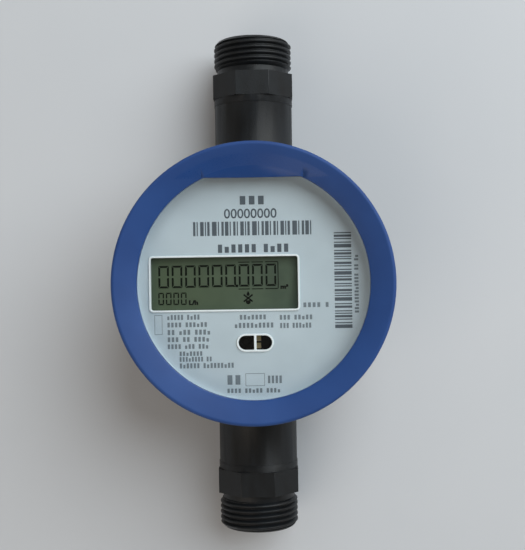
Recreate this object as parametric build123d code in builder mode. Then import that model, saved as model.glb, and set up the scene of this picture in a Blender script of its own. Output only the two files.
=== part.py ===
from build123d import *
import math
import os

os.makedirs("parts", exist_ok=True)

# Axes: +Y along the water pipe, +Z up through the dial, X across.
# Origin: under the middle of the head, on the surface that the two collars rest on.
# All sizes are in millimetres.

# Clearances
SEAT_GAP = 0.1
LOOSE_GAP = 0.3

# Pipe connections
METER_LENGTH = 165.0
THREAD_ZONE = 12.0
THREAD_ROOT_R = 12.15
THREAD_LEAD = 0.5
PORT_R = 10.0
PORT_DEPTH = 14.0
PORT_LEAD = 0.6

# Spanner collars
COLLAR_FLATS = 26.8
COLLAR_WIDTH = 8.0
COLLAR_SIDES = 8
COLLAR_EDGE = 0.35

# Flow pipe
PIPE_R = 13.2
BAND_R = 13.36
BAND_WIDTH = 2.2
BORE_R = 9.7

# Cup of the head
CUP_WALL = 2.4
CUP_BASE = 5.0
CUP_FLOOR = 3.0
CUP_HEEL = 4.6
RIM_WALL = 1.6
RIM_STEP = 1.1
RIM_HEIGHT = 10.5
BEAD_PROUD = 0.4
BEAD_WIDTH = 1.6
BEAD_DROP = 4.6
ROOT_FLARE = 2.6
ROOT_REACH = 3.4
ROOT_SINK = 1.4
POST_COUNT = 4
POST_DEPTH = 2.5
POST_WIDTH = 4.0

# Heights of the head's pieces, stacked up from the crown of the pipe
CAPSULE_HEIGHT = 3.2
CAPSULE_ROOM = 0.6
CARRIER_WEB = 1.4
CARRIER_LEDGE_HEIGHT = 1.0
BOARD_THICK = 1.6
BOARD_ROOM = 6.4
FACE_THICK = 1.4
FACE_ROOM = 1.8
GASKET_THICK = 0.7
GLASS_THICK = 2.4
RING_RISE = 5.4
LIP_DROP = 3.2

# Locking ring
RING_R = 43.5
RING_WALL = 1.9
RING_FACE = 7.6
RING_FLAT_SIDE = 3.3
RING_SKIRT = 15.0
RING_EDGE = 0.9
RING_EDGE_SOFTENING = 0.26
RING_CORNER_ROUND = 2.5
LIP_MARGIN = 1.0
RING_CHAMFER = 0.6
GLASS_EDGE = 0.3

# Face plate
FACE_RIM_WALL = 1.0
FACE_SKIRT = 3.6
FRAME_PROUD = 0.5
FRAME_WALL = 0.55
DISPLAY_LENGTH = 46.1
DISPLAY_HEIGHT = 16.5
DISPLAY_MARGIN = 2.6
DISPLAY_Y = 0.15
DISPLAY_CORNER = 0.7
WINDOW_LENGTH = 10.5
WINDOW_HEIGHT = 4.5
WINDOW_X = 0.15
WINDOW_Y = -18.55
WINDOW_DIVIDER = 0.75

# Display panes and their contact strips
PANE_THICK = 0.7
PANE_LENGTH_MARGIN = 1.2
PANE_HEIGHT_MARGIN = 3.7
REAR_PANE_MARGIN = 1.2
STRIP_WIDTH = 2.0
STRIP_LENGTH = 42.0

# Circuit board
BOARD_NOTCH_R = 1.6
BOARD_NOTCHES = 3
NOTCH_ANGLE = 30
CHIP_CHAMFER = 0.15
CRYSTAL_OFFSET = 27.8
CAPACITOR_INSET = 11.0
CAPACITOR_Y = -13.0
CAPACITOR_PITCH = 3.2
CAPACITOR_LENGTH = 1.6
CAPACITOR_WIDTH = 0.8

# Optical parts under the window
EMITTER_X = 0.825
EMITTER_Y = -18.7
EMITTER_WIDTH = 2.05
EMITTER_GAP = 0.5
EMITTER_HEIGHT = 2.0
TERMINAL_LENGTH = 1.75
RECEIVER_X = -2.9
RECEIVER_SIDE = 3.2
RECEIVER_LENS_R = 1.3
RECEIVER_LENS = 0.7

# Antenna
ANTENNA_INSET = 1.6
ANTENNA_THICK = 0.5
ANTENNA_HEIGHT = 3.0
ANTENNA_START_ANGLE = 210
ANTENNA_SWEEP_ANGLE = 110

# Board carrier
CARRIER_WALL = 1.4
CARRIER_LEDGE = 1.6

# Battery cells
CELL_R = 7.25
CELL_ROOM = 0.4
CELL_NUB_R = 2.6
CELL_NUB = 1.5
CELL_LIFT = 5.6
CELL_PIPE_GAP = 0.9
CELL_EDGE = 0.6
CRADLE_WIDTH = 2.0
CRADLE_SPAN = 5.0
CRADLE_Y = 14.0
TAB_THICK = 0.3
TAB_WIDTH = 5.0
TAB_CLEARANCE = 0.8
CAPSULE_LENGTH = 24.0
CAPSULE_WIDTH = 11.0

# Ultrasonic transducers
TRANSDUCER_MARGIN = 3.9
TRANSDUCER_R = 7.1
TRANSDUCER_HEIGHT = 3.6
TRANSDUCER_STEP_R = 5.6
TRANSDUCER_STEP = 0.8
POCKET_WALL = 1.7
POCKET_FLOOR_WALL = 1.9
POCKET_DEPTH = 3.0
PIN_R = 0.7
PIN_COLLAR_R = 1.2
PIN_COLLAR = 1.6
PIN_SPACING = 6.0

# Measuring insert, sound mirrors and strainer
TUBE_LENGTH = 30.0
TUBE_BORE_R = 5.0
TUBE_MOUTH_R = 8.4
TUBE_MOUTH = 6.0
MIRROR_R = 4.2
MIRROR_BACK = 5.4
HOLDER_LENGTH = 9.0
HOLDER_WALL = 1.3
HOLDER_SOCKET_WALL = 0.9
HOLDER_SOCKET_DEPTH = 3.4
HOLDER_NOSE = 4.5
HOLDER_NOSE_TAPER = 38
HOLDER_FIN = 1.6
STRAINER_LENGTH = 13.0
STRAINER_WALL = 1.3
STRAINER_FLANGE = 2.0
STRAINER_SLOTS = 10
STRAINER_SLOT = 2.2

# Values worked out from the driving dimensions
AXIS_Z = COLLAR_FLATS / 2
END_Y = METER_LENGTH / 2
COLLAR_OUTER_Y = END_Y - THREAD_ZONE
COLLAR_INNER_Y = COLLAR_OUTER_Y - COLLAR_WIDTH
FLOW_AXIS = Axis((0, 0, AXIS_Z), (0, 1, 0))

WEB_BASE = AXIS_Z + PIPE_R + SEAT_GAP + CAPSULE_HEIGHT + CAPSULE_ROOM
WEB_TOP = WEB_BASE + CARRIER_WEB
BOARD_BASE = WEB_TOP + CARRIER_LEDGE_HEIGHT
BOARD_TOP = BOARD_BASE + BOARD_THICK
FACE_BASE = BOARD_TOP + BOARD_ROOM
FACE_Z = FACE_BASE + FACE_THICK
GLASS_BASE = FACE_Z + FACE_ROOM
GLASS_TOP = GLASS_BASE + GLASS_THICK
RING_PEAK = GLASS_TOP + RING_RISE
CARRIER_TOP = FACE_BASE - FACE_SKIRT - LOOSE_GAP
LEDGE_Z = GLASS_BASE - GASKET_THICK
RIM_TOP = GLASS_TOP - LOOSE_GAP
RIM_BASE = RIM_TOP - RIM_HEIGHT
BEAD_Z = RIM_TOP - BEAD_DROP
FLOOR_Z = CUP_BASE + CUP_FLOOR

RING_INNER_R = RING_R - RING_WALL
RING_OPENING_R = RING_R - RING_FACE
RING_CHORD_Y = RING_OPENING_R - RING_FLAT_SIDE
LIP_SLOPE = LIP_DROP / RING_FACE
LIP_R = RING_CHORD_Y - LIP_MARGIN
GROOVE_WIDTH = BEAD_WIDTH + LOOSE_GAP
RIM_R = RING_INNER_R - SEAT_GAP
POCKET_R = RIM_R - RIM_WALL
GLASS_R = POCKET_R - LOOSE_GAP
CUP_R = RIM_R - RIM_STEP
CUP_INNER_R = CUP_R - CUP_WALL
ROOT_INNER_Y = CUP_INNER_R - ROOT_SINK
ROOT_OUTER_Y = CUP_R + ROOT_REACH
FACE_R = CUP_INNER_R - LOOSE_GAP
BOARD_R = FACE_R - CARRIER_WALL - LOOSE_GAP
ANTENNA_R = BOARD_R - ANTENNA_INSET
CAPACITOR_X = BOARD_R - CAPACITOR_INSET

DISPLAY_LEFT = DISPLAY_MARGIN - math.sqrt(RING_OPENING_R**2 - (DISPLAY_HEIGHT / 2) ** 2)
DISPLAY_X = DISPLAY_LEFT + DISPLAY_LENGTH / 2
PANE_TOP = FACE_BASE - SEAT_GAP
PANE_BASE = PANE_TOP - PANE_THICK
PANE_LENGTH = DISPLAY_LENGTH + 2 * PANE_LENGTH_MARGIN
PANE_HEIGHT = DISPLAY_HEIGHT + 2 * PANE_HEIGHT_MARGIN
REAR_PANE_HEIGHT = DISPLAY_HEIGHT + 2 * REAR_PANE_MARGIN
STRIP_Y = (PANE_HEIGHT - STRIP_WIDTH) / 2

CELL_Z = AXIS_Z + CELL_LIFT
CELL_X = math.sqrt((PIPE_R + CELL_PIPE_GAP + CELL_R) ** 2 - CELL_LIFT**2)
CELL_TOTAL = 2 * math.sqrt((CUP_INNER_R - CELL_ROOM) ** 2 - (CELL_X + CELL_R) ** 2)
CELL_LENGTH = CELL_TOTAL - CELL_NUB
SADDLE_DEPTH = AXIS_Z - (WEB_BASE + CELL_Z) / 2

TRANSDUCER_Y = CUP_INNER_R - TRANSDUCER_MARGIN - TRANSDUCER_R
TRANSDUCER_BASE = AXIS_Z + BORE_R + POCKET_FLOOR_WALL
TRANSDUCER_TOP = TRANSDUCER_BASE + TRANSDUCER_HEIGHT
POCKET_BORE_R = TRANSDUCER_R + SEAT_GAP
BOSS_R = POCKET_BORE_R + POCKET_WALL
INSERT_R = BORE_R - SEAT_GAP


def square_to_flow(y):
    """Plane across the pipe's centre line at y, facing out of the nearer end."""
    outward = 1 if y >= 0 else -1
    return Plane(origin=(0, y, AXIS_Z), x_dir=(1, 0, 0), z_dir=(0, outward, 0))


def finish(piece, name):
    """Label a finished piece and write its STEP file."""
    piece.part.label = name
    export_step(piece.part, f"parts/{name}.step")


# Meter body: pipe, collars, threaded ends and cup, moulded as one piece
with BuildPart() as meter_body:
    # Roots where the pipe flares into the cup, above the cup's base
    for end in (-1, 1):
        with BuildSketch(Plane.YZ):
            with BuildLine():
                Polyline(
                    (end * ROOT_INNER_Y, AXIS_Z),
                    (end * ROOT_INNER_Y, AXIS_Z + PIPE_R + ROOT_FLARE),
                    (end * ROOT_OUTER_Y, AXIS_Z + PIPE_R),
                    (end * ROOT_OUTER_Y, AXIS_Z),
                    close=True,
                )
            make_face()
        revolve(axis=FLOW_AXIS)
    split(bisect_by=Plane.XY.offset(CUP_BASE), keep=Keep.TOP)

    # Cup wall, ledge for the glass and rim, turned about the head's centre line
    with BuildSketch(Plane.XZ):
        with BuildLine():
            Polyline(
                (0, CUP_BASE),
                (CUP_R, CUP_BASE),
                (CUP_R, RIM_BASE - (RIM_R - CUP_R)),
                (RIM_R, RIM_BASE),
                (RIM_R, RIM_TOP),
                (POCKET_R, RIM_TOP),
                (POCKET_R, LEDGE_Z),
                (CUP_INNER_R, LEDGE_Z),
                (CUP_INNER_R, FLOOR_Z),
                (0, FLOOR_Z),
                close=True,
            )
        make_face()
        at_base = vertices().group_by(Axis.Y)[0].sort_by(Axis.X)[-1]
        chamfer(at_base, length=CUP_HEEL)
        at_floor = vertices().filter_by_position(Axis.Y, FLOOR_Z - SEAT_GAP, FLOOR_Z + SEAT_GAP)
        chamfer(at_floor.sort_by(Axis.X)[-1], length=CUP_HEEL - CUP_FLOOR)
    revolve(axis=Axis.Z)

    # Snap bead that holds the locking ring
    with BuildSketch(Plane.XZ):
        with BuildLine():
            Polyline(
                (RIM_R - BEAD_PROUD, BEAD_Z - BEAD_WIDTH / 2),
                (RIM_R, BEAD_Z - BEAD_WIDTH / 2),
                (RIM_R + BEAD_PROUD, BEAD_Z),
                (RIM_R, BEAD_Z + BEAD_WIDTH / 2),
                (RIM_R - BEAD_PROUD, BEAD_Z + BEAD_WIDTH / 2),
                close=True,
            )
        make_face()
    revolve(axis=Axis.Z)

    # Flow pipe through the cup
    with BuildSketch(square_to_flow(0)):
        Circle(PIPE_R)
    extrude(amount=COLLAR_INNER_Y, both=True)

    for end in (-1, 1):
        # Octagonal collar with flats up, down and to the sides
        with BuildSketch(square_to_flow(end * COLLAR_INNER_Y)):
            RegularPolygon(COLLAR_FLATS / 2, COLLAR_SIDES, major_radius=False, rotation=180 / COLLAR_SIDES)
            fillet(vertices(), radius=COLLAR_EDGE)
        extrude(amount=COLLAR_WIDTH)
        # Slightly fuller band beside the collar
        with BuildSketch(square_to_flow(end * (COLLAR_INNER_Y - BAND_WIDTH))):
            Circle(BAND_R)
        extrude(amount=BAND_WIDTH)
        # Core of the threaded end
        with BuildSketch(square_to_flow(end * COLLAR_OUTER_Y)):
            Circle(THREAD_ROOT_R)
        extrude(amount=THREAD_ZONE)

    # Bosses for the transducers on the crown of the pipe
    with BuildSketch(Plane.XY.offset(AXIS_Z)):
        with Locations((0, -TRANSDUCER_Y), (0, TRANSDUCER_Y)):
            Circle(BOSS_R)
    extrude(amount=TRANSDUCER_BASE + POCKET_DEPTH - AXIS_Z)
    with BuildSketch(Plane.XY.offset(TRANSDUCER_BASE)):
        with Locations((0, -TRANSDUCER_Y), (0, TRANSDUCER_Y)):
            Circle(POCKET_BORE_R)
    extrude(amount=POCKET_DEPTH, mode=Mode.SUBTRACT)

    # Ribs on the cup's wall that the board carrier stands on
    with BuildSketch(Plane.XY.offset(FLOOR_Z)):
        with PolarLocations(CUP_INNER_R - POST_DEPTH / 2, POST_COUNT):
            Rectangle(POST_DEPTH + 2 * SEAT_GAP, POST_WIDTH)
    extrude(amount=WEB_BASE - FLOOR_Z)

    # Cradle ribs on the floor under the battery cells
    for y in (-CRADLE_Y, CRADLE_Y):
        with BuildSketch(square_to_flow(0).offset(y - CRADLE_WIDTH / 2)):
            with Locations((-CELL_X, 0), (CELL_X, 0)):
                Rectangle(2 * CRADLE_SPAN, 2 * (AXIS_Z - FLOOR_Z))
            with Locations((-CELL_X, -CELL_LIFT), (CELL_X, -CELL_LIFT)):
                Circle(CELL_R + SEAT_GAP, mode=Mode.SUBTRACT)
                with Locations((0, -CELL_R)):
                    Rectangle(2 * CELL_R, 2 * CELL_R, mode=Mode.SUBTRACT)
        extrude(amount=CRADLE_WIDTH)

    # Water way with a wider port and a lead-in at each end
    with BuildSketch(square_to_flow(0)):
        Circle(BORE_R)
    extrude(amount=END_Y, both=True, mode=Mode.SUBTRACT)
    for end in (-1, 1):
        with BuildSketch(square_to_flow(end * (END_Y - PORT_DEPTH))):
            Circle(PORT_R)
        extrude(amount=PORT_DEPTH, mode=Mode.SUBTRACT)

    # Lead-in chamfers on both end faces
    end_faces = meter_body.faces().filter_by(Axis.Y).group_by(Axis.Y)
    end_edges = (end_faces[0] + end_faces[-1]).edges()
    chamfer([e for e in end_edges if e.radius > (PORT_R + THREAD_ROOT_R) / 2], length=THREAD_LEAD)
    end_faces = meter_body.faces().filter_by(Axis.Y).group_by(Axis.Y)
    end_edges = (end_faces[0] + end_faces[-1]).edges()
    chamfer([e for e in end_edges if e.radius < (PORT_R + THREAD_ROOT_R) / 2], length=PORT_LEAD)
finish(meter_body, "meter_body")

# Locking ring: moulded ring with a face that slopes in and down to a nearly round opening
with BuildPart() as locking_ring:
    with BuildSketch(Plane.XZ):
        with BuildLine():
            Polyline(
                (RING_INNER_R, RING_PEAK - RING_SKIRT),
                (RING_R, RING_PEAK - RING_SKIRT),
                (RING_R, RING_PEAK),
                (LIP_R, RING_PEAK - (RING_R - LIP_R) * LIP_SLOPE),
                (LIP_R, GLASS_TOP),
                (RING_INNER_R, GLASS_TOP),
                (RING_INNER_R, BEAD_Z + GROOVE_WIDTH / 2),
                (RING_INNER_R + BEAD_PROUD, BEAD_Z),
                (RING_INNER_R, BEAD_Z - GROOVE_WIDTH / 2),
                close=True,
            )
        make_face()
        chamfer(vertices().sort_by(Axis.Y)[-1], length=RING_EDGE)
        chamfer(vertices().sort_by(Axis.Y)[-2:], length=RING_EDGE_SOFTENING)
        foot_corner = vertices().group_by(Axis.Y)[0].sort_by(Axis.X)[-1]
        chamfer(foot_corner, length=RING_CHAMFER)
    revolve(axis=Axis.Z)
    # Opening: a circle with one straight side
    with BuildSketch(Plane.XY.offset(GLASS_TOP)):
        Circle(RING_OPENING_R)
        with Locations((0, RING_CHORD_Y + RING_OPENING_R)):
            Rectangle(2 * RING_OPENING_R, 2 * RING_OPENING_R, mode=Mode.SUBTRACT)
        fillet(vertices().group_by(Axis.Y)[-1], radius=RING_CORNER_ROUND)
    extrude(amount=RING_PEAK - GLASS_TOP, mode=Mode.SUBTRACT)
finish(locking_ring, "locking_ring")

# Cover glass: toughened round pane with broken edges
with BuildPart() as cover_glass:
    with BuildSketch(Plane.XY.offset(GLASS_BASE)):
        Circle(GLASS_R)
    extrude(amount=GLASS_THICK)
    chamfer(cover_glass.edges().filter_by(GeomType.CIRCLE), length=GLASS_EDGE)
finish(cover_glass, "cover_glass")

# Gasket between the glass and the cup's ledge
with BuildPart() as glass_gasket:
    with BuildSketch(Plane.XY.offset(LEDGE_Z)):
        Circle(GLASS_R)
        Circle(CUP_INNER_R + SEAT_GAP, mode=Mode.SUBTRACT)
    extrude(amount=GASKET_THICK)
finish(glass_gasket, "glass_gasket")

# Face plate: moulded dial with an upright rim, display frame and optical window
with BuildPart() as face_plate:
    with BuildSketch(Plane.XY.offset(FACE_BASE)):
        Circle(FACE_R)
    extrude(amount=FACE_THICK)
    with BuildSketch(Plane.XY.offset(FACE_BASE - FACE_SKIRT)):
        Circle(FACE_R)
        Circle(FACE_R - FACE_RIM_WALL, mode=Mode.SUBTRACT)
    extrude(amount=FACE_SKIRT + FACE_THICK + FACE_ROOM - LOOSE_GAP)
    with BuildSketch(Plane.XY.offset(FACE_Z)):
        with Locations((DISPLAY_X, DISPLAY_Y)):
            RectangleRounded(
                DISPLAY_LENGTH + 2 * FRAME_WALL,
                DISPLAY_HEIGHT + 2 * FRAME_WALL,
                DISPLAY_CORNER + FRAME_WALL,
            )
        with Locations((WINDOW_X, WINDOW_Y)):
            SlotOverall(WINDOW_LENGTH + 2 * FRAME_WALL, WINDOW_HEIGHT + 2 * FRAME_WALL)
    extrude(amount=FRAME_PROUD)
    with BuildSketch(Plane.XY.offset(FACE_BASE)):
        with Locations((DISPLAY_X, DISPLAY_Y)):
            RectangleRounded(DISPLAY_LENGTH, DISPLAY_HEIGHT, DISPLAY_CORNER)
        with Locations((WINDOW_X, WINDOW_Y)):
            SlotOverall(WINDOW_LENGTH, WINDOW_HEIGHT)
            Rectangle(WINDOW_DIVIDER, WINDOW_HEIGHT, mode=Mode.SUBTRACT)
    extrude(amount=FACE_THICK + FRAME_PROUD, mode=Mode.SUBTRACT)
finish(face_plate, "face_plate")

# Display: two bonded panes, the front one standing over the rear one at its contact edges
with BuildPart() as display_front_glass:
    with BuildSketch(Plane.XY.offset(PANE_BASE)):
        with Locations((DISPLAY_X, DISPLAY_Y)):
            Rectangle(PANE_LENGTH, PANE_HEIGHT)
    extrude(amount=PANE_THICK)
finish(display_front_glass, "display_front_glass")

with BuildPart() as display_rear_glass:
    with BuildSketch(Plane.XY.offset(PANE_BASE - PANE_THICK)):
        with Locations((DISPLAY_X, DISPLAY_Y)):
            Rectangle(PANE_LENGTH, REAR_PANE_HEIGHT)
    extrude(amount=PANE_THICK)
finish(display_rear_glass, "display_rear_glass")

# Rubber contact strips from the board up to the front pane's edges
for name, offset in (("upper", STRIP_Y), ("lower", -STRIP_Y)):
    with BuildPart() as display_connector:
        with BuildSketch(Plane.XY.offset(BOARD_TOP)):
            with Locations((DISPLAY_X, DISPLAY_Y + offset)):
                Rectangle(STRIP_LENGTH, STRIP_WIDTH)
        extrude(amount=PANE_BASE - BOARD_TOP)
    finish(display_connector, f"display_connector_{name}")

# Circuit board, keyed to the carrier by notches in its edge
with BuildPart() as circuit_board:
    with BuildSketch(Plane.XY.offset(BOARD_BASE)):
        Circle(BOARD_R)
        with PolarLocations(BOARD_R, BOARD_NOTCHES, start_angle=NOTCH_ANGLE):
            Circle(BOARD_NOTCH_R, mode=Mode.SUBTRACT)
    extrude(amount=BOARD_THICK)
finish(circuit_board, "circuit_board")

# Parts soldered to the board's top: name, place, length, width and height
BOARD_PARTS = (
    ("main_chip", DISPLAY_X, DISPLAY_Y, 9.0, 9.0, 1.2),
    ("timing_chip", 22.0, -4.0, 6.0, 6.0, 1.0),
    ("radio_chip", 24.0, 7.0, 5.0, 5.0, 0.9),
    ("clock_crystal", DISPLAY_X + CRYSTAL_OFFSET, 13.5, 5.0, 3.2, 1.2),
)
for name, x, y, length, width, height in BOARD_PARTS:
    with BuildPart() as board_part:
        with BuildSketch(Plane.XY.offset(BOARD_TOP)):
            with Locations((x, y)):
                Rectangle(length, width)
        extrude(amount=height)
        chamfer(board_part.edges().group_by(Axis.Z)[-1], length=CHIP_CHAMFER)
    finish(board_part, name)

# Small capacitors, soldered in two rows
with BuildPart() as capacitors:
    with BuildSketch(Plane.XY.offset(BOARD_TOP)):
        with Locations((CAPACITOR_X, CAPACITOR_Y)):
            with GridLocations(CAPACITOR_PITCH, CAPACITOR_PITCH, 3, 2):
                Rectangle(CAPACITOR_LENGTH, CAPACITOR_WIDTH)
    extrude(amount=CAPACITOR_WIDTH)
finish(capacitors, "capacitors")

# Infrared emitter under the right half of the optical window, between its two terminals
with BuildPart() as infrared_emitter:
    with BuildSketch(Plane.XY.offset(BOARD_TOP)):
        with Locations((EMITTER_X, EMITTER_Y)):
            Rectangle(EMITTER_WIDTH, EMITTER_GAP)
    extrude(amount=EMITTER_HEIGHT)
finish(infrared_emitter, "infrared_emitter")

with BuildPart() as emitter_terminals:
    with BuildSketch(Plane.XY.offset(BOARD_TOP)):
        with Locations((EMITTER_X, EMITTER_Y)):
            with GridLocations(0, EMITTER_GAP + TERMINAL_LENGTH, 1, 2):
                Rectangle(EMITTER_WIDTH, TERMINAL_LENGTH)
    extrude(amount=EMITTER_HEIGHT)
finish(emitter_terminals, "emitter_terminals")

# Infrared receiver under the left half of the optical window, with a domed lens
with BuildPart() as infrared_receiver:
    with BuildSketch(Plane.XY.offset(BOARD_TOP)):
        with Locations((RECEIVER_X, WINDOW_Y)):
            Rectangle(RECEIVER_SIDE, RECEIVER_SIDE)
    extrude(amount=EMITTER_HEIGHT)
    with BuildSketch(Plane.XY.offset(BOARD_TOP + EMITTER_HEIGHT)):
        with Locations((RECEIVER_X, WINDOW_Y)):
            Circle(RECEIVER_LENS_R)
    extrude(amount=RECEIVER_LENS)
    chamfer(infrared_receiver.edges().group_by(Axis.Z)[-1], length=RECEIVER_LENS / 2)
finish(infrared_receiver, "infrared_receiver")

# Antenna: a metal strip bent to an arc and stood on the board's edge
with BuildPart() as antenna:
    with BuildSketch(Plane.XY.offset(BOARD_TOP)):
        with BuildLine():
            outer_arc = CenterArc((0, 0), ANTENNA_R, ANTENNA_START_ANGLE, ANTENNA_SWEEP_ANGLE)
            inner_arc = CenterArc((0, 0), ANTENNA_R - ANTENNA_THICK, ANTENNA_START_ANGLE, ANTENNA_SWEEP_ANGLE)
            Line(outer_arc @ 0, inner_arc @ 0)
            Line(outer_arc @ 1, inner_arc @ 1)
        make_face()
    extrude(amount=ANTENNA_HEIGHT)
finish(antenna, "antenna")

# Board carrier: moulded ring with a web over the cells
with BuildPart() as board_carrier:
    with BuildSketch(Plane.XY.offset(WEB_BASE)):
        Circle(FACE_R)
    extrude(amount=CARRIER_TOP - WEB_BASE)
    with BuildSketch(Plane.XY.offset(WEB_TOP)):
        Circle(FACE_R - CARRIER_WALL - CARRIER_LEDGE)
    extrude(amount=CARRIER_TOP - WEB_TOP, mode=Mode.SUBTRACT)
    with BuildSketch(Plane.XY.offset(BOARD_BASE)):
        Circle(FACE_R - CARRIER_WALL)
    extrude(amount=CARRIER_TOP - BOARD_BASE, mode=Mode.SUBTRACT)
    # Keys that stand in the board's notches
    with BuildSketch(Plane.XY.offset(BOARD_BASE)):
        with PolarLocations(BOARD_R, BOARD_NOTCHES, start_angle=NOTCH_ANGLE):
            Circle(BOARD_NOTCH_R - LOOSE_GAP)
    extrude(amount=BOARD_THICK)
    # Ways through the web for the contact pins and the battery tabs
    with BuildSketch(Plane.XY.offset(WEB_BASE)):
        SlotOverall(2 * (TRANSDUCER_Y + TRANSDUCER_R), 2 * TRANSDUCER_R, rotation=90)
        with GridLocations(2 * CELL_X, CELL_TOTAL + TAB_THICK, 2, 2):
            Rectangle(TAB_WIDTH + 2 * TAB_CLEARANCE, TAB_THICK + 2 * TAB_CLEARANCE)
    extrude(amount=BOARD_BASE - WEB_BASE, mode=Mode.SUBTRACT)
    # Saddles that hold the cells down, drawn downwards from the pipe's axis
    for y in (-CRADLE_Y, CRADLE_Y):
        with BuildSketch(square_to_flow(0).offset(y - CRADLE_WIDTH / 2)):
            with Locations((-CELL_X, SADDLE_DEPTH), (CELL_X, SADDLE_DEPTH)):
                Rectangle(2 * CRADLE_SPAN, WEB_BASE - CELL_Z)
            with Locations((-CELL_X, -CELL_LIFT), (CELL_X, -CELL_LIFT)):
                Circle(CELL_R + LOOSE_GAP, mode=Mode.SUBTRACT)
        extrude(amount=CRADLE_WIDTH)
finish(board_carrier, "board_carrier")

# Battery cells: steel cans with a terminal nub, lying beside the pipe
for name, x in (("left", -CELL_X), ("right", CELL_X)):
    with BuildPart() as battery_cell:
        with BuildSketch(square_to_flow(0).offset(-CELL_TOTAL / 2)):
            with Locations((x, -CELL_LIFT)):
                Circle(CELL_R)
        extrude(amount=CELL_LENGTH)
        chamfer(battery_cell.edges().filter_by(GeomType.CIRCLE), length=CELL_EDGE)
        with BuildSketch(square_to_flow(0).offset(CELL_TOTAL / 2 - CELL_NUB)):
            with Locations((x, -CELL_LIFT)):
                Circle(CELL_NUB_R)
        extrude(amount=CELL_NUB)
    finish(battery_cell, f"battery_cell_{name}")

# Tabs welded to the cells' ends and soldered to the board
with BuildPart() as battery_tabs:
    with BuildSketch(Plane.XY.offset(CELL_Z - CELL_NUB_R)):
        with GridLocations(2 * CELL_X, CELL_TOTAL + TAB_THICK, 2, 2):
            Rectangle(TAB_WIDTH, TAB_THICK)
    extrude(amount=BOARD_BASE - CELL_Z + CELL_NUB_R)
finish(battery_tabs, "battery_tabs")

# Desiccant capsule on the crown of the pipe
with BuildPart() as desiccant_capsule:
    with BuildSketch(Plane.XY.offset(AXIS_Z + PIPE_R + SEAT_GAP)):
        RectangleRounded(CAPSULE_WIDTH, CAPSULE_LENGTH, CAPSULE_WIDTH / 4)
    extrude(amount=CAPSULE_HEIGHT)
    chamfer(desiccant_capsule.edges().group_by(Axis.Z)[-1], length=CAPSULE_HEIGHT / 5)
finish(desiccant_capsule, "desiccant_capsule")

# Pieces that come once at the inlet and once at the outlet
for end, side in (("inlet", -1), ("outlet", 1)):
    middle = side * TRANSDUCER_Y
    back = TRANSDUCER_Y + MIRROR_BACK

    # Ultrasonic transducer in its pocket, stepped at the contact side
    with BuildPart() as transducer:
        with BuildSketch(Plane.XY.offset(TRANSDUCER_BASE)):
            with Locations((0, middle)):
                Circle(TRANSDUCER_R)
        extrude(amount=TRANSDUCER_HEIGHT - TRANSDUCER_STEP)
        with BuildSketch(Plane.XY.offset(TRANSDUCER_TOP - TRANSDUCER_STEP)):
            with Locations((0, middle)):
                Circle(TRANSDUCER_STEP_R)
        extrude(amount=TRANSDUCER_STEP)
    finish(transducer, f"transducer_{end}")

    # Steel sound mirror: a short rod with a face at 45 degrees to the flow
    mirror_face = Plane(origin=(0, middle, AXIS_Z), x_dir=(1, 0, 0), z_dir=(0, -side, 1))
    with BuildPart() as reflector:
        with BuildSketch(square_to_flow(side * (TRANSDUCER_Y - MIRROR_R))):
            Circle(MIRROR_R)
        extrude(amount=MIRROR_R + MIRROR_BACK)
        split(bisect_by=mirror_face, keep=Keep.BOTTOM)
    finish(reflector, f"reflector_{end}")

    # Holder: a ring in the bore, two fins and a socket with a streamlined nose
    with BuildPart() as reflector_holder:
        with BuildSketch(square_to_flow(side * (back - HOLDER_SOCKET_DEPTH))):
            Circle(MIRROR_R + SEAT_GAP + HOLDER_SOCKET_WALL)
        extrude(amount=HOLDER_SOCKET_DEPTH + HOLDER_SOCKET_WALL)
        with BuildSketch(square_to_flow(side * (back + HOLDER_SOCKET_WALL))):
            Circle(MIRROR_R + SEAT_GAP + HOLDER_SOCKET_WALL)
        extrude(amount=HOLDER_NOSE, taper=HOLDER_NOSE_TAPER)
        with BuildSketch(square_to_flow(side * (back - HOLDER_SOCKET_DEPTH))):
            Circle(MIRROR_R + SEAT_GAP)
        extrude(amount=HOLDER_SOCKET_DEPTH, mode=Mode.SUBTRACT)
        split(bisect_by=mirror_face, keep=Keep.BOTTOM)
        with BuildSketch(square_to_flow(side * back)):
            Rectangle(HOLDER_FIN, 2 * INSERT_R - HOLDER_WALL)
        extrude(amount=HOLDER_SOCKET_WALL + HOLDER_NOSE)
        with BuildSketch(square_to_flow(side * back)):
            Circle(INSERT_R)
            Circle(INSERT_R - HOLDER_WALL, mode=Mode.SUBTRACT)
        extrude(amount=HOLDER_LENGTH)
    finish(reflector_holder, f"reflector_holder_{end}")

# Sprung pins from the transducers up to the board
with BuildPart() as transducer_pins:
    with BuildSketch(Plane.XY.offset(TRANSDUCER_TOP)):
        with GridLocations(PIN_SPACING, 2 * TRANSDUCER_Y, 2, 2):
            Circle(PIN_COLLAR_R)
    extrude(amount=PIN_COLLAR)
    with BuildSketch(Plane.XY.offset(TRANSDUCER_TOP + PIN_COLLAR)):
        with GridLocations(PIN_SPACING, 2 * TRANSDUCER_Y, 2, 2):
            Circle(PIN_R)
    extrude(amount=BOARD_BASE - TRANSDUCER_TOP - PIN_COLLAR)
finish(transducer_pins, "transducer_pins")

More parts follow.
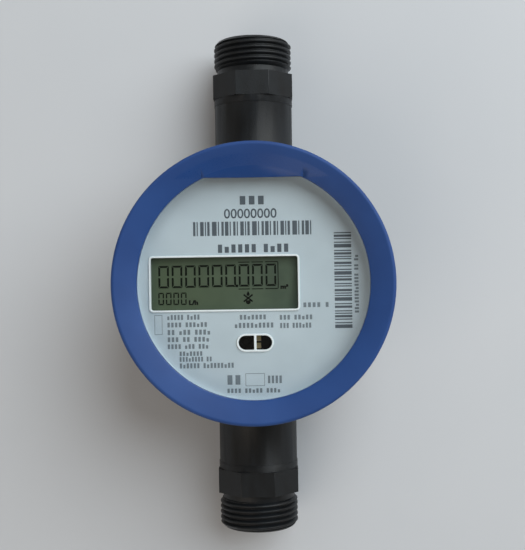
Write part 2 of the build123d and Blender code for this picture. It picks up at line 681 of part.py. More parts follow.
# Measuring tube: turned form with flared mouths
with BuildPart() as measuring_tube:
    with BuildSketch(Plane.YZ):
        with BuildLine():
            Polyline(
                (-TUBE_LENGTH / 2, AXIS_Z + INSERT_R),
                (TUBE_LENGTH / 2, AXIS_Z + INSERT_R),
                (TUBE_LENGTH / 2, AXIS_Z + TUBE_MOUTH_R),
                (TUBE_LENGTH / 2 - TUBE_MOUTH, AXIS_Z + TUBE_BORE_R),
                (TUBE_MOUTH - TUBE_LENGTH / 2, AXIS_Z + TUBE_BORE_R),
                (-TUBE_LENGTH / 2, AXIS_Z + TUBE_MOUTH_R),
                close=True,
            )
        make_face()
    revolve(axis=FLOW_AXIS)
finish(measuring_tube, "measuring_tube")

# Inlet strainer: slotted basket pressed into the bore behind the inlet port
strainer_y = END_Y - PORT_DEPTH
with BuildPart() as inlet_strainer:
    with BuildSketch(square_to_flow(-strainer_y)):
        Circle(INSERT_R)
    extrude(amount=-STRAINER_FLANGE)
    with BuildSketch(square_to_flow(-strainer_y)):
        Circle(INSERT_R - STRAINER_WALL)
    extrude(amount=-STRAINER_LENGTH)
    with BuildSketch(square_to_flow(-strainer_y)):
        Circle(INSERT_R - 2 * STRAINER_WALL)
    extrude(amount=STRAINER_WALL - STRAINER_LENGTH, mode=Mode.SUBTRACT)
    with BuildSketch(square_to_flow(-strainer_y + STRAINER_FLANGE)):
        with PolarLocations(INSERT_R - STRAINER_WALL, STRAINER_SLOTS):
            Rectangle(2 * STRAINER_FLANGE, STRAINER_SLOT)
    extrude(amount=-(STRAINER_LENGTH - STRAINER_FLANGE - STRAINER_WALL), mode=Mode.SUBTRACT)
finish(inlet_strainer, "inlet_strainer")
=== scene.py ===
import math

import bmesh
import bpy
from mathutils import Matrix, Vector


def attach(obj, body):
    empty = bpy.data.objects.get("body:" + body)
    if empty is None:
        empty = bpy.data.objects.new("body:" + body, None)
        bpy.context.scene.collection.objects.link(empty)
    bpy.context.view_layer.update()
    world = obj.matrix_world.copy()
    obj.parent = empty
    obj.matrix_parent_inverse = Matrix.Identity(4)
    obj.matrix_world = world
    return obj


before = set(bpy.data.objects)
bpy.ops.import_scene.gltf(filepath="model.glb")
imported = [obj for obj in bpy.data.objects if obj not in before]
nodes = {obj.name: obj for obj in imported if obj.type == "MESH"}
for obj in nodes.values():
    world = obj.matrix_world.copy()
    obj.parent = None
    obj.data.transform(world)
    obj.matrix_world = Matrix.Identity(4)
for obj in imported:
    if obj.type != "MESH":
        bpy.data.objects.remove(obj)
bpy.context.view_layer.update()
MM = 0.001

# Meter body: one dark moulding of glass-filled composite with the pipe, the collars, the
# threaded ends and the cup. The mould leaves a fine grain and a few flow marks.


def tone(code):
    """Linear colour of a six-digit sRGB code."""
    parts = [int(code[i : i + 2], 16) / 255 for i in (0, 2, 4)]
    return tuple(p / 12.92 if p <= 0.04045 else ((p + 0.055) / 1.055) ** 2.4 for p in parts) + (1,)


class Signal:
    """A value that changes over a surface, for use in plain sums."""

    def __init__(self, finish, socket):
        self.finish = finish
        self.socket = socket

    def sum(self, operation, first, second=0.0):
        return self.finish.add("ShaderNodeMath", {"operation": operation}, {0: first, 1: second})

    def __add__(self, other):
        return self.sum("ADD", self, other)

    def __sub__(self, other):
        return self.sum("SUBTRACT", self, other)

    def __rsub__(self, other):
        return self.sum("SUBTRACT", other, self)

    def __mul__(self, other):
        return self.sum("MULTIPLY", self, other)

    def __gt__(self, other):
        return self.sum("GREATER_THAN", self, other)

    def __lt__(self, other):
        return self.sum("LESS_THAN", self, other)

    def __abs__(self):
        return self.sum("ABSOLUTE", self)

    __radd__ = __add__
    __rmul__ = __mul__


class Finish:
    """A surface finish built on the standard shader."""

    def __init__(self, name, **sockets):
        self.material = bpy.data.materials.new(name)
        self.material.use_nodes = True
        self.tree = self.material.node_tree
        self.shader = self.tree.nodes["Principled BSDF"]
        self.feed(self.shader, sockets)
        self.place = self.add("ShaderNodeTexCoord", output="Object")

    def feed(self, node, sockets):
        for key, value in sockets.items():
            key = key.replace("_", " ") if isinstance(key, str) else key
            if isinstance(value, Signal):
                self.tree.links.new(value.socket, node.inputs[key])
            else:
                node.inputs[key].default_value = value

    def add(self, kind, settings=None, sockets=None, output=0):
        node = self.tree.nodes.new(kind)
        for key, value in (settings or {}).items():
            if key == "stops":
                ramp = node.color_ramp.elements
                while len(ramp) < len(value):
                    ramp.new(0.5)
                for stop, (position, colour) in zip(ramp, value):
                    stop.position, stop.color = position, colour
            else:
                setattr(node, key, value)
        self.feed(node, sockets or {})
        return Signal(self, node.outputs[output])

    def noise(self, size_mm, detail=3.0, stretch=(1, 1, 1), rough=0.5):
        """Soft noise from 0 to 1 with features of about size_mm."""
        spread = self.add("ShaderNodeMapping", None, {"Vector": self.place, "Scale": stretch})
        sockets = {"Vector": spread, "Scale": 1 / (size_mm * MM), "Detail": detail, "Roughness": rough}
        return self.add("ShaderNodeTexNoise", None, sockets)

    def axis(self, letter):
        """Place along X, Y or Z in millimetres."""
        return self.add("ShaderNodeSeparateXYZ", None, {"Vector": self.place}, letter) * (1 / MM)

    def blend(self, factor, first, second):
        """Colour that goes from the first to the second as the factor goes from 0 to 1."""
        return self.add("ShaderNodeMix", {"data_type": "RGBA"}, {0: factor, 6: first, 7: second}, 2)

    def fit(self, value, low, high, start=0.0, end=1.0):
        """The value's range from low to high, spread to start and end and held there."""
        sockets = {"Value": value, "From_Min": low, "From_Max": high, "To_Min": start, "To_Max": end}
        return self.add("ShaderNodeMapRange", None, sockets)

    def relief(self, height, depth_mm):
        """Fine relief of about depth_mm on the surface."""
        bump = self.add("ShaderNodeBump", None, {"Height": height, "Distance": depth_mm * MM}, "Normal")
        self.feed(self.shader, {"Normal": bump})

    def cover(self, *names):
        """Put the finish on pieces of the frame."""
        for name in names:
            for place in nodes[name].material_slots:
                place.material = self.material


composite = Finish("moulded_composite", Roughness=0.5, Specular_IOR_Level=0.32)
grain = composite.noise(0.35, 4)
flow = composite.noise(5.0, 3, (1, 0.25, 1))
composite.feed(
    composite.shader,
    {
        "Base Color": composite.blend(composite.fit(flow, 0.35, 0.7), tone("0f1113"), tone("181c20")),
        "Roughness": composite.fit(grain + flow, 0.6, 1.4, 0.36, 0.52),
    },
)
composite.relief(grain + 0.4 * flow, 0.035)
composite.cover("meter_body")


def soften(name, width_mm, segments=2, angle=30):
    """Round a frame piece's sharp edges a little, as the mould leaves them."""
    weld = nodes[name].modifiers.new("weld", "WELD")
    weld.merge_threshold = 0.002 * MM
    bevel = nodes[name].modifiers.new("edge", "BEVEL")
    bevel.width = width_mm * MM
    bevel.segments = segments
    bevel.limit_method = "ANGLE"
    bevel.angle_limit = math.radians(angle)
    bevel.harden_normals = True


soften("meter_body", 0.2)

# Threads: the G 3/4 ridge on each pipe end, moulded with the body. It is right-handed with a
# pitch of 1.814 mm, runs out against the neck and fades into a plain lead-in at the tip.
AXIS_Z = 13.4
THREAD_PITCH = 1.814
THREAD_CREST_R = 13.2
THREAD_BASE_R = 11.95


def metres(*values):
    return tuple(v * MM for v in values)


def edit(pick=None, mode="VERT"):
    """Open the active piece for editing with only the chosen corners, edges or faces selected."""
    piece = bpy.context.object
    bpy.ops.object.mode_set(mode="EDIT")
    bpy.ops.mesh.select_mode(type=mode)
    bpy.ops.mesh.select_all(action="DESELECT")
    mesh = bmesh.from_edit_mesh(piece.data)
    parts = {"VERT": mesh.verts, "EDGE": mesh.edges, "FACE": mesh.faces}[mode]
    for part in parts:
        if pick is None:
            part.select = True
        else:
            spot = part.co if mode == "VERT" else sum((v.co for v in part.verts), Vector()) / len(part.verts)
            part.select = bool(pick(part, spot / MM))
    mesh.select_flush_mode()
    bmesh.update_edit_mesh(piece.data)


def done():
    bpy.ops.object.mode_set(mode="OBJECT")


def start(name):
    """Name a fresh primitive and leave it as the active piece."""
    piece = bpy.context.object
    piece.name = piece.data.name = name
    return piece


def modify(piece, kind, **settings):
    """Add a modifier, set it and apply it."""
    modifier = piece.modifiers.new(kind.lower(), kind)
    for key, value in settings.items():
        setattr(modifier, key, value)
    bpy.context.view_layer.objects.active = piece
    bpy.ops.object.modifier_apply(modifier=modifier.name)


def settle(piece, finish):
    """Apply a piece's place, give it its finish and let it ride on the meter."""
    bpy.ops.object.select_all(action="DESELECT")
    piece.select_set(True)
    bpy.context.view_layer.objects.active = piece
    bpy.ops.object.transform_apply(location=True, rotation=True, scale=True)
    piece.data.materials.clear()
    piece.data.materials.append(finish.material)
    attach(piece, "root")


# Trim outline: full height between these distances from the middle, with a run-out at each end
FULL_FROM, FULL_TO = 73.6, 81.0
NECK_RUN, TIP_RUN = 1.2, 1.3
half_full = (FULL_TO - FULL_FROM) / 2
ridge_mid = (THREAD_BASE_R + THREAD_CREST_R) / 2
foot_half, crest_half = 0.84, 0.27
bpy.ops.object.select_all(action="DESELECT")
for name, end, first_crest in (("outlet_thread", 1, 69.9), ("inlet_thread", -1, -84.15)):
    # Ridge section: a narrow crest on a wide foot, swept round and along the pipe
    bpy.ops.mesh.primitive_plane_add(size=1, location=metres(0, 0, AXIS_Z))
    ridge = start(name)
    edit()
    bpy.ops.transform.resize(value=metres(THREAD_CREST_R - THREAD_BASE_R, 2 * foot_half, 1))
    bpy.ops.transform.translate(value=metres(ridge_mid, first_crest, 0))
    done()
    edit(lambda corner, at: at.x > ridge_mid)
    bpy.ops.transform.resize(value=(1, crest_half / foot_half, 1))
    bpy.ops.mesh.bevel(offset=0.12 * MM, segments=2, affect="VERTICES")
    bpy.ops.mesh.select_all(action="SELECT")
    bpy.ops.mesh.delete(type="ONLY_FACE")
    done()
    sweep = {"axis": "Y", "angle": 2 * math.pi, "screw_offset": THREAD_PITCH * MM, "iterations": 8}
    modify(ridge, "SCREW", steps=72, render_steps=72, use_merge_vertices=False, **sweep)
    edit()
    bpy.ops.mesh.fill_holes(sides=0)
    bpy.ops.mesh.select_all(action="SELECT")
    bpy.ops.mesh.normals_make_consistent(inside=False)
    done()
    bpy.ops.mesh.primitive_cylinder_add(
        vertices=144,
        radius=THREAD_CREST_R * MM,
        depth=2 * half_full * MM,
        location=metres(0, end * (FULL_FROM + FULL_TO) / 2, AXIS_Z),
        rotation=(math.pi / 2, 0, 0),
    )
    outline = start("thread_outline")
    bpy.ops.object.transform_apply(location=False, rotation=True, scale=True)
    for side, reach in ((end, TIP_RUN), (-end, NECK_RUN)):
        edit(lambda face, at: side * at.y > half_full - 0.01, "FACE")
        bpy.ops.mesh.extrude_region_move(TRANSFORM_OT_translate={"value": metres(0, side * reach, 0)})
        bpy.ops.transform.resize(value=(12.0 / THREAD_CREST_R, 1, 12.0 / THREAD_CREST_R))
        done()
    modify(ridge, "BOOLEAN", operation="INTERSECT", object=outline, solver="EXACT")
    bpy.data.objects.remove(outline)
    settle(ridge, composite)
    bpy.ops.object.shade_smooth_by_angle(angle=math.radians(50))

# Strainer, measuring tube and mirror holders: pale moulded inserts in the water way, with a
# polished steel sound mirror pressed into each holder.
insert = Finish("insert_moulding", Roughness=0.45)
cloud = insert.noise(2.0)
insert.feed(insert.shader, {"Base Color": insert.blend(cloud, tone("dcdcd2"), tone("e8e8e0"))})
insert.relief(insert.noise(0.3), 0.02)
insert.cover("inlet_strainer", "measuring_tube", "reflector_holder_inlet", "reflector_holder_outlet")
mirror = Finish("mirror_steel", Metallic=1.0)
lapping = mirror.noise(0.2, 2, (1, 0.05, 1))
mirror.feed(
    mirror.shader,
    {
        "Base Color": mirror.blend(lapping, tone("c9cbcc"), tone("dadbdb")),
        "Roughness": mirror.fit(lapping, 0.3, 0.7, 0.12, 0.22),
    },
)
mirror.cover("reflector_inlet", "reflector_outlet")

# Ultrasonic transducers: fired ceramic discs with plated faces, and the sprung gold pins that
# join them to the board.
ceramic = Finish("transducer_ceramic", Roughness=0.4)
specks = ceramic.noise(0.5, 4)
ceramic.feed(ceramic.shader, {"Base Color": ceramic.blend(specks, tone("a9a08b"), tone("c4bca8"))})
ceramic.relief(specks, 0.01)
ceramic.cover("transducer_inlet", "transducer_outlet")
gold = Finish("gold_plating", Metallic=1.0)
wear = gold.noise(0.4)
gold.feed(
    gold.shader,
    {
        "Base Color": gold.blend(wear, tone("c9a15a"), tone("dcc084")),
        "Roughness": gold.fit(wear, 0.3, 0.7, 0.25, 0.4),
    },
)
gold.cover("transducer_pins")

# Battery cells: two sleeved metal cans beside the pipe, with welded nickel tabs, and the white
# desiccant capsule on the pipe's crown.
sleeve = Finish("cell_sleeve", Metallic=0.6)
crease = sleeve.noise(3.0, 2, (1, 0.3, 1))
sleeve.feed(
    sleeve.shader,
    {
        "Base Color": sleeve.blend(crease, tone("b7bbbf"), tone("cdd0d2")),
        "Roughness": sleeve.fit(crease, 0.3, 0.7, 0.28, 0.42),
    },
)
sleeve.relief(crease, 0.02)
sleeve.cover("battery_cell_left", "battery_cell_right")
nickel = Finish("nickel_strip", Metallic=1.0)
rolling = nickel.noise(0.25, 2, (1, 1, 0.08))
nickel.feed(
    nickel.shader,
    {
        "Base Color": nickel.blend(rolling, tone("cbc8be"), tone("dedbd2")),
        "Roughness": nickel.fit(rolling, 0.3, 0.7, 0.3, 0.45),
    },
)
nickel.cover("battery_tabs", "antenna", "clock_crystal")
capsule = Finish("capsule_shell", Roughness=0.6)
weave = capsule.noise(0.6, 4)
capsule.feed(capsule.shader, {"Base Color": capsule.blend(weave, tone("e4e3db"), tone("f0efe9"))})
capsule.relief(weave, 0.03)
capsule.cover("desiccant_capsule")

# Board carrier: dark moulded ring with a web over the cells and keys for the board.
carrier = Finish("carrier_moulding", Roughness=0.5)
haze = carrier.noise(1.5)
carrier.feed(carrier.shader, {"Base Color": carrier.blend(haze, tone("2a2a2c"), tone("36363a"))})
carrier.relief(carrier.noise(0.3), 0.02)
carrier.cover("board_carrier")

# Circuit board: laminate under a dark lacquer with copper tracks, moulded chips, ceramic
# capacitors and the rubber strips that feed the display.
TRACK_PITCH = 1.1
laminate = Finish("lacquered_laminate", Roughness=0.35, Specular_IOR_Level=0.25)
weft = laminate.noise(0.5, 3)
lane = laminate.add("ShaderNodeMath", {"operation": "FRACT"}, {0: laminate.axis("X") * (1 / TRACK_PITCH)})
cross = laminate.noise(9.0, 1) > 0.52
tracks = (abs(lane - 0.5) < 0.17) * cross
board_tone = laminate.blend(weft, tone("150e14"), tone("1e151c"))
laminate.feed(laminate.shader, {"Base Color": laminate.blend(tracks, board_tone, tone("2a1f22"))})
laminate.relief(tracks, 0.03)
laminate.cover("circuit_board")
chip = Finish("moulding_compound", Roughness=0.6)
dust = chip.noise(0.25, 4)
chip.feed(chip.shader, {"Base Color": chip.blend(dust, tone("1c1c1d"), tone("2b2b2c"))})
chip.relief(dust, 0.01)
chip.cover("main_chip", "timing_chip", "radio_chip")
body = Finish("capacitor_ceramic", Roughness=0.45)
fired = body.noise(0.3)
body.feed(body.shader, {"Base Color": body.blend(fired, tone("b49a72"), tone("c8b08a"))})
body.relief(fired, 0.01)
body.cover("capacitors")
strip = Finish("striped_rubber", Roughness=0.8)
layers = strip.add("ShaderNodeMath", {"operation": "FRACT"}, {0: strip.axis("X") * 5.0}) > 0.5
strip.feed(strip.shader, {"Base Color": strip.blend(layers, tone("2c2c2c"), tone("c9c7c0"))})
strip.relief(strip.noise(0.3), 0.01)
strip.cover("display_connector_upper", "display_connector_lower")

# Optical eye: a dark filtered receiver on the left and an emitter between two tan terminals
# on the right, both seen through the face plate's window.
filtered = Finish("filter_plastic", Roughness=0.35, Specular_IOR_Level=0.2)
murk = filtered.noise(1.2)
filtered.feed(filtered.shader, {"Base Color": filtered.blend(murk, tone("08080b"), tone("110e14"))})
filtered.relief(murk, 0.02)
filtered.cover("infrared_receiver", "infrared_emitter")
terminal = Finish("tinned_terminal", Metallic=0.2)
solder = terminal.noise(0.7, 3)
terminal.feed(
    terminal.shader,
    {
        "Base Color": terminal.blend(terminal.fit(solder, 0.35, 0.65), tone("cbb7a0"), tone("d6c680")),
        "Roughness": terminal.fit(solder, 0.3, 0.7, 0.35, 0.55),
    },
)
terminal.relief(solder, 0.04)
terminal.cover("emitter_terminals")

# Display panes: two bonded glass panes with an olive polarising film. The film is painted a little
# darker and bluer towards the edges of the opening: painted shade from the frame's recess.
pane = Finish("polarising_film", Roughness=0.3, Specular_IOR_Level=0.25)
DISPLAY_X, DISPLAY_Y = -9.3, 0.15
DISPLAY_HALF_X, DISPLAY_HALF_Y = 23.05, 8.25
# Painted shade: the film darkens towards the left, right and top edges of the window, where the frame casts shade
frame_shade_x = pane.fit(abs(pane.axis("X") - DISPLAY_X), DISPLAY_HALF_X - 3.0, DISPLAY_HALF_X)
frame_shade_top = pane.fit(pane.axis("Y") - DISPLAY_Y, DISPLAY_HALF_Y - 3.5, DISPLAY_HALF_Y + 0.5)
veil = pane.noise(9.0, 2)
film = pane.blend(pane.fit(veil, 0.35, 0.65), tone("475549"), tone("546354"))
film = pane.blend(pane.fit(pane.axis("X"), 14.0, -32.0), film, tone("505e48"))
film = pane.blend(0.55 * frame_shade_x, film, tone("33423b"))
pane.feed(pane.shader, {"Base Color": pane.blend(0.6 * frame_shade_top, film, tone("323c30"))})
pane.relief(pane.noise(0.4, 2), 0.004)
pane.cover("display_front_glass", "display_rear_glass")

# Display digits: black liquid-crystal segments just under the front pane's film. Nine large
# zeros with a decimal point, lines round the last three, four small zeros, and the units.
LCD_TOP = 40.8
SEGMENT_LIFT = 0.02
lcd = []


def join(name, parts):
    """Join loose parts into one piece."""
    bpy.ops.object.select_all(action="DESELECT")
    for part in parts:
        part.select_set(True)
    bpy.context.view_layer.objects.active = parts[0]
    if len(parts) > 1:
        bpy.ops.object.join()
    return start(name)


def patch(x, y, width, height, z):
    """A flat oblong with its middle at x, y."""
    bpy.ops.mesh.primitive_plane_add(size=1, location=metres(x, y, z))
    piece = bpy.context.object
    piece.scale = (width * MM, height * MM, 1)
    bpy.ops.object.transform_apply(location=True, rotation=True, scale=True)
    return piece


def zero(x, y, width, height, stroke):
    """Six mitred segments that show a nought, with its lower left corner at x, y."""
    z = LCD_TOP + SEGMENT_LIFT
    gap = 0.12 * stroke
    waist = 0.36 * stroke
    made = []
    for end in (0, 1):
        edge = y + end * height
        made.append(patch(x + width / 2, edge - (end - 0.5) * stroke, width - 2 * gap, stroke, z))
        edit(lambda corner, at: (at.y - (edge - (end - 0.5) * stroke)) * (1 if end else -1) < 0)
        bpy.ops.transform.resize(value=((width - 2 * stroke - 2 * gap) / (width - 2 * gap), 1, 1))
        done()
    for side in (0, 1):
        for end in (0, 1):
            middle = x + side * width - (side - 0.5) * stroke
            low = y + 2 * gap if end == 0 else y + height / 2 + waist
            high = y + height / 2 - waist if end == 0 else y + height - 2 * gap
            made.append(patch(middle, (low + high) / 2, stroke, high - low, z))
            inner = 1 if side == 0 else -1
            for tip, is_corner in ((low, end == 0), (high, end == 1)):
                edit(lambda corner, at: abs(at.y - tip) < 0.01 and inner * (at.x - middle) > 0)
                shift = stroke if is_corner else 0.3 * stroke
                way = 1 if tip == low else -1
                bpy.ops.transform.translate(value=metres(0, way * shift, 0))
                done()
    return made


BIG_LEFT, BIG_PITCH, BIG_BASE = -30.1, 4.22, -1.15
BIG_WIDTH, BIG_HEIGHT, BIG_STROKE = 3.35, 7.05, 0.62
for place in range(9):
    lcd += zero(BIG_LEFT + place * BIG_PITCH, BIG_BASE + 0.03 * place, BIG_WIDTH, BIG_HEIGHT, BIG_STROKE)
SMALL_LEFT, SMALL_PITCH, SMALL_BASE = -30.2, 2.37, -6.44
for place in range(4):
    lcd += zero(SMALL_LEFT + place * SMALL_PITCH, SMALL_BASE, 1.8, 3.9, 0.42)
z = LCD_TOP + SEGMENT_LIFT
lcd.append(patch(-5.4, -0.7, 0.8, 0.8, z))
for place in (6, 7, 8):
    left = BIG_LEFT + place * BIG_PITCH - 0.1
    for y in (6.72, -1.72):
        reach = BIG_WIDTH + (0.65 if place == 8 else 0.2)
        lcd.append(patch(left + reach / 2, y, reach, 0.28, z))
lcd.append(patch(7.6, 2.5, 0.28, 8.24, z))
# Dry-pipe sign: a drop over a crossed pair of bars and a puddle
for turn in (-1, 1):
    lcd.append(patch(-1.9, -4.6, 3.6, 0.5, z))
    edit()
    bpy.ops.transform.rotate(value=turn * math.radians(38), orient_axis="Z", center_override=metres(-1.9, -4.6, z))
    done()
for name, x, y, reach in (("drop", -1.9, -3.4, 0.5), ("puddle", -1.9, -5.75, 0.78)):
    bpy.ops.mesh.primitive_circle_add(vertices=20, radius=reach * MM, fill_type="NGON", location=metres(x, y, z))
    lcd.append(bpy.context.object)
    bpy.ops.object.transform_apply(location=True, rotation=True, scale=True)
    edit(lambda corner, at: at.y > y + 0.4 if name == "drop" else at.y > y)
    if name == "drop":
        bpy.ops.transform.translate(value=metres(0, 0.5, 0))
        bpy.ops.transform.resize(value=(0.25, 1, 1))
    else:
        bpy.ops.transform.resize(value=(1, 0.2, 1))
    done()


def wording(body, x, y, height, z, width=None, align="LEFT", weight=0.0):
    """Flat figures or a unit sign as a mesh, with the lower corner or middle at x, y."""
    bpy.ops.object.text_add(location=(0, 0, 0))
    piece = bpy.context.object
    piece.data.body = body
    piece.data.size = 1
    piece.data.align_x = align
    piece.data.resolution_u = 4
    piece.data.offset = weight
    bpy.ops.object.convert(target="MESH")
    tall = max(v.co.y for v in piece.data.vertices)
    wide = max(v.co.x for v in piece.data.vertices) - min(v.co.x for v in piece.data.vertices)
    grow = height / tall
    piece.scale = metres(width / wide if width else grow, grow, 1)
    piece.location = metres(x, y, z)
    bpy.ops.object.transform_apply(location=True, rotation=True, scale=True)
    return piece


lcd.append(wording("m³", 8.3, -1.75, 1.35, z, 2.5, weight=0.06))
lcd.append(wording("L/h", -20.6, -6.4, 1.4, z, 2.9, weight=0.06))
digits = join("display_digits", lcd)
modify(digits, "SOLIDIFY", thickness=0.03 * MM, offset=-1)
crystal = Finish("liquid_crystal", Roughness=0.4, Specular_IOR_Level=0.1)
fade = crystal.noise(4.0, 2)
crystal.feed(crystal.shader, {"Base Color": crystal.blend(fade, tone("040605"), tone("0a0e0b"))})
settle(digits, crystal)

# Face plate: white moulding printed grey-blue over its flat, so that the display frame, the
# window rim and the upright edge stay paler. Fine dust sits on it.
FACE_Z = 42.3
dial = Finish("printed_dial", Roughness=0.5, Specular_IOR_Level=0.4)
mottle = dial.noise(12.0, 3)
speckle = dial.noise(0.5, 4)
flat = dial.blend(dial.fit(mottle, 0.35, 0.65), tone("bbcbd4"), tone("c2d2db"))
flat = dial.blend(dial.fit(speckle, 0.62, 0.8), flat, tone("ccdae2"))
proud = dial.axis("Z") > FACE_Z + 0.06
under = dial.axis("Z") < FACE_Z - 0.06
raised = dial.add("ShaderNodeMath", {"operation": "MAXIMUM"}, {0: proud, 1: under})
dial.feed(
    dial.shader,
    {
        "Base Color": dial.blend(raised, flat, tone("f2fbff")),
        "Roughness": dial.fit(speckle, 0.3, 0.7, 0.44, 0.58),
    },
)
dial.relief(speckle, 0.012)
dial.cover("face_plate")
soften("face_plate", 0.15)

# Dial print: dark grey ink as plain fields. Rows of small blocks stand where the small print
# is, and two fields of plain bars stand beside the display and above it.
INK_Z = FACE_Z + 0.015
ink_parts = []


def block_row(x0, x1, y0, y1, words, upright=False):
    """Letter-sized blocks between x0 and x1, in words of the given lengths, or up a column."""
    units = sum(words) + 0.8 * (len(words) - 1)
    step = (x1 - x0) / units
    x = x0
    for count, word in enumerate(words):
        for letter in range(word):
            full = 1.0 if (letter * 7 + word * 3 + count) % 5 else 0.72
            tall = (y1 - y0) * full
            box = (x + 0.5 * step, y0 + tall / 2, 0.62 * step, tall)
            if upright:
                box = (y1 - tall / 2, x + 0.5 * step, tall, 0.62 * step)
            ink_parts.append(patch(*box, INK_Z))
            x += step
        x += 0.8 * step


ROWS = (
    (-27.5, -17.0, -11.1, -9.5, (5, 4)),
    (-27.5, -14.7, -13.4, -11.9, (4, 6)),
    (-27.5, -13.7, -15.8, -14.2, (2, 3, 4)),
    (-27.5, -14.1, -18.0, -16.5, (3, 2, 4)),
    (-27.5, -14.4, -20.2, -18.7, (4, 3, 3)),
    (-23.8, -16.3, -22.4, -21.0, (7,)),
    (-23.8, -13.4, -24.2, -22.7, (8, 2)),
    (-23.8, -6.5, -26.3, -24.7, (6, 9)),
    (-4.8, 3.8, -11.3, -9.8, (7,)),
    (-6.4, 6.1, -13.9, -12.3, (10,)),
    (7.7, 18.3, -11.5, -10.0, (3, 5)),
    (7.8, 17.9, -14.1, -12.5, (3, 6)),
    (-9.0, 7.9, -34.2, -32.8, (4, 5, 4)),
    (-4.6, 4.0, 24.7, 27.4, (3,)),
    (-11.5, 11.3, 9.7, 12.3, (6, 4)),
    (15.1, 23.5, -7.7, -6.2, (4, 1)),
    (-9.2, -4.2, -31.6, -28.6, (2,)),
    (3.7, 8.5, -31.3, -28.9, (4,)),
)
for row in ROWS:
    block_row(*row)
block_row(-9.8, 8.6, 31.4, 32.7, (12, 2, 2), True)
# Bars above the display: widths and gaps in steps of a third of a millimetre
BAR_STEP = 0.37
x = -18.8
for count in range(40):
    bar = (2, 1, 3, 1, 2, 4, 1, 2, 3, 1)[count % 10]
    gap = (1, 2, 1, 1, 2)[count % 5]
    if x + bar * BAR_STEP > 18.6:
        break
    ink_parts.append(patch(x + bar * BAR_STEP / 2, 17.25, bar * BAR_STEP, 4.4, INK_Z))
    x += (bar + gap) * BAR_STEP
# Bars down the right side
y = 15.6
for count in range(60):
    bar = (1, 2, 1, 1, 3, 1, 2, 1)[count % 8]
    gap = (1, 1, 2, 1, 2, 1)[count % 6]
    if y - bar * BAR_STEP < -15.3:
        break
    ink_parts.append(patch(27.9, y - bar * BAR_STEP / 2, 5.4, bar * BAR_STEP, INK_Z))
    y -= (bar + gap) * BAR_STEP
# Outlined boxes: one upright at the left edge, one at the foot of the dial
for x, y, wide, tall in ((-30.1, -12.6, 2.3, 6.0), (-0.05, -30.1, 5.9, 3.8)):
    for side in (-1, 1):
        ink_parts.append(patch(x, y + side * tall / 2, wide + 0.16, 0.16, INK_Z))
        ink_parts.append(patch(x + side * wide / 2, y, 0.16, tall - 0.16, INK_Z))
ink_parts.append(wording("00000000", -0.8, 20.5, 2.95, INK_Z, 16.5, "CENTER", 0.012))
print_marks = join("dial_print", ink_parts)
modify(print_marks, "SOLIDIFY", thickness=0.02 * MM, offset=-1)
ink = Finish("dial_ink", Roughness=0.55)
thin = ink.noise(0.8, 4)
fine = ink.blend(thin, tone("66737c"), tone("78858e"))
bold = ink.blend(thin, tone("46515b"), tone("535f69"))
heading = (ink.axis("Y") > 8.0) * (ink.axis("X") < 24.0) + (ink.axis("X") > 24.0) * (ink.axis("X") < 31.0)
ink.feed(ink.shader, {"Base Color": ink.blend(heading, fine, bold)})
settle(print_marks, ink)

# Gasket: dark rubber ring between the glass and the ledge of the cup.
rubber = Finish("gasket_rubber", Roughness=0.85)
pores = rubber.noise(0.4, 4)
rubber.feed(rubber.shader, {"Base Color": rubber.blend(pores, tone("202020"), tone("2e2e2e"))})
rubber.relief(pores, 0.02)
rubber.cover("glass_gasket")

# Cover glass: clear toughened pane. It shows its reflection, which grows at low angles, and
# lets the dial through.
glass = Finish("clear_glass", Metallic=1.0, Roughness=0.03)
smear = glass.noise(14.0, 3)
slant = glass.add("ShaderNodeLayerWeight", None, {"Blend": 0.5}, "Facing")
sheen = glass.add("ShaderNodeMath", {"operation": "POWER"}, {0: slant, 1: 5.0})
glass.feed(
    glass.shader,
    {
        "Base Color": glass.blend(smear, tone("e9f2f2"), tone("f2f7f7")),
        "Alpha": 0.03 + 0.6 * sheen,
    },
)
glass.cover("cover_glass")

# Locking ring: blue moulding snapped over the rim, satin from the mould, with a face that
# slopes in to the glass.
blue = Finish("ring_moulding", Specular_IOR_Level=0.3)
satin = blue.noise(0.3, 4)
drift = blue.noise(16.0, 2)
level_place = blue.add("ShaderNodeMapping", None, {"Vector": blue.place, "Scale": (1 / MM, 1 / MM, 0)})
reach = blue.add("ShaderNodeVectorMath", {"operation": "LENGTH"}, {0: level_place}, "Value")
lip = (reach < 36.2) + (blue.axis("Y") > 32.3) * (reach < 40.0)
blue.feed(
    blue.shader,
    {
        "Base Color": blue.blend(blue.fit(drift, 0.3, 0.7), tone("21437f"), tone("264a88")),
        "Roughness": blue.fit(satin, 0.3, 0.7, 0.5, 0.6) - 0.25 * lip,
    },
)
blue.relief(satin, 0.02)
blue.cover("locking_ring")
soften("locking_ring", 0.22, 3, 14)

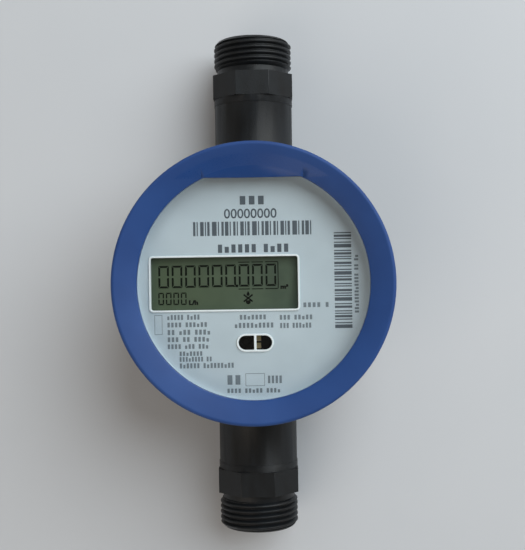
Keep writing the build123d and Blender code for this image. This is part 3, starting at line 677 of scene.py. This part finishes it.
# Floor: a pale sheet under the meter, with soft light from the upper right and a weaker fill
# from the other sides. The camera looks straight down from 0.33 m.
bpy.ops.object.select_all(action="DESELECT")
bpy.ops.mesh.primitive_plane_add(size=3, location=(0, 0, 0))
floor = start("floor")
paper = Finish("pale_floor", Roughness=0.75)
cloudy = paper.noise(60.0, 3)
paper.feed(paper.shader, {"Base Color": paper.blend(cloudy, tone("caced4"), tone("d1d4d9"))})
floor.data.materials.append(paper.material)


def lamp(name, at, aim, size, power, colour=(1, 1, 1)):
    bpy.ops.object.light_add(type="AREA", location=at)
    light = bpy.context.object
    light.name = name
    light.data.shape = "DISK"
    light.data.size = size
    light.data.energy = power
    light.data.color = colour
    light.rotation_euler = (Vector(aim) - Vector(at)).to_track_quat("-Z", "Y").to_euler()


lamp("window_light", (0.55, 0.58, 0.75), (0, 0, 0), 1.3, 13.5, (0.92, 0.98, 1.0))
lamp("room_light", (-0.5, -0.6, 0.8), (0, 0, 0), 0.9, 2.4, (1.0, 0.88, 0.76))
world = bpy.data.worlds.new("room")
bpy.context.scene.world = world
world.use_nodes = True
room = world.node_tree
# The room is bright near the floor and dim overhead
outlook = room.nodes.new("ShaderNodeTexCoord")
height = room.nodes.new("ShaderNodeSeparateXYZ")
level = room.nodes.new("ShaderNodeMapRange")
room.links.new(outlook.outputs["Generated"], height.inputs["Vector"])
room.links.new(height.outputs["Z"], level.inputs["Value"])
level.inputs["From Min"].default_value = 0.1
level.inputs["From Max"].default_value = 0.95
level.inputs["To Min"].default_value = 0.5
level.inputs["To Max"].default_value = 0.1
room.links.new(level.outputs["Result"], room.nodes["Background"].inputs["Strength"])
room.nodes["Background"].inputs["Color"].default_value = (1.0, 0.93, 0.84, 1)

bpy.ops.object.camera_add()
camera = bpy.context.object
camera.data.lens = 61.13
camera.data.sensor_width = 36
camera.data.clip_start = 0.01
TO_CAMERA = Matrix(((0.99977, -0.01542, -0.01486), (0.01552, 0.99986, 0.00622), (0.01476, -0.00645, 0.99987)))
camera.matrix_world = Matrix.Translation(metres(7.046, 0.694, 334.44)) @ TO_CAMERA.transposed().to_4x4()
bpy.context.scene.camera = camera
bpy.context.scene.view_settings.view_transform = "Standard"
